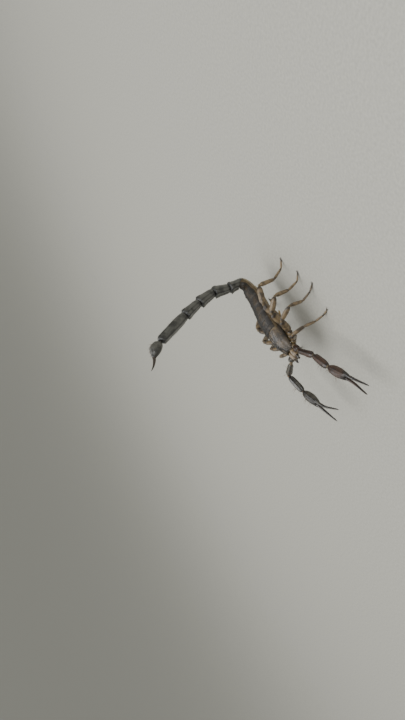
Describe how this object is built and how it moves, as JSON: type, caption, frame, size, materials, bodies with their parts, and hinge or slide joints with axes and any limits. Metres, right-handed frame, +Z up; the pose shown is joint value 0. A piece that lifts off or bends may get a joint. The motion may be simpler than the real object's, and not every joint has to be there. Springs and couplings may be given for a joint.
{
  "type": "scorpion",
  "caption": "Scorpion at life size, standing with its tail arched up over its back, its pincers reaching forward and its legs gathered close under the body.",
  "frame": {"origin": "on the floor under the middle of the whole animal's bounding box", "axes": "+Y towards the animal's rear, +X towards its left side, +Z up; the pincers point along -Y"},
  "size_m": [0.039, 0.0648, 0.0547],
  "materials": {
    "carapace": "satin",
    "trunk_plate": "satin",
    "underside": "satin",
    "tail": "satin",
    "sting": "gloss",
    "leg": "satin",
    "pincer": "satin",
    "finger": "gloss",
    "jaw": "satin",
    "eye": "gloss",
    "comb": "matt"
  },
  "bodies": {
    "root": {"aculeus": "sting", "carapace": "carapace", "chelicera_finger_left": "finger", "chelicera_finger_right": "finger", "chelicera_left": "jaw", "chelicera_right": "jaw", "coxosternum": "underside", "leg_1_femur_left": "leg", "leg_1_femur_right": "leg", "leg_1_foot_left": "leg", "leg_1_foot_right": "leg", "leg_1_patella_left": "leg", "leg_1_patella_right": "leg", "leg_2_femur_left": "leg", "leg_2_femur_right": "leg", "leg_2_foot_left": "leg", "leg_2_foot_right": "leg", "leg_2_patella_left": "leg", "leg_2_patella_right": "leg", "leg_3_femur_left": "leg", "leg_3_femur_right": "leg", "leg_3_foot_left": "leg", "leg_3_foot_right": "leg", "leg_3_patella_left": "leg", "leg_3_patella_right": "leg", "leg_4_femur_left": "leg", "leg_4_femur_right": "leg", "leg_4_foot_left": "leg", "leg_4_foot_right": "leg", "leg_4_patella_left": "leg", "leg_4_patella_right": "leg", "median_eye_left": "eye", "median_eye_right": "eye", "mesosoma_1": "trunk_plate", "mesosoma_2": "trunk_plate", "mesosoma_3": "trunk_plate", "mesosoma_4": "trunk_plate", "mesosoma_5": "trunk_plate", "mesosoma_6": "trunk_plate", "mesosoma_7": "trunk_plate", "metasoma_1": "tail", "metasoma_2": "tail", "metasoma_3": "tail", "metasoma_4": "tail", "metasoma_5": "tail", "pecten_left": "comb", "pecten_right": "comb", "pedipalp_femur_left": "pincer", "pedipalp_femur_right": "pincer", "pedipalp_manus_left": "pincer", "pedipalp_manus_right": "pincer", "pedipalp_movable_finger_left": "finger", "pedipalp_movable_finger_right": "finger", "pedipalp_patella_left": "pincer", "pedipalp_patella_right": "pincer", "pedipalp_trochanter_left": "pincer", "pedipalp_trochanter_right": "pincer", "vesicle": "tail"}
  },
  "joints": []
}
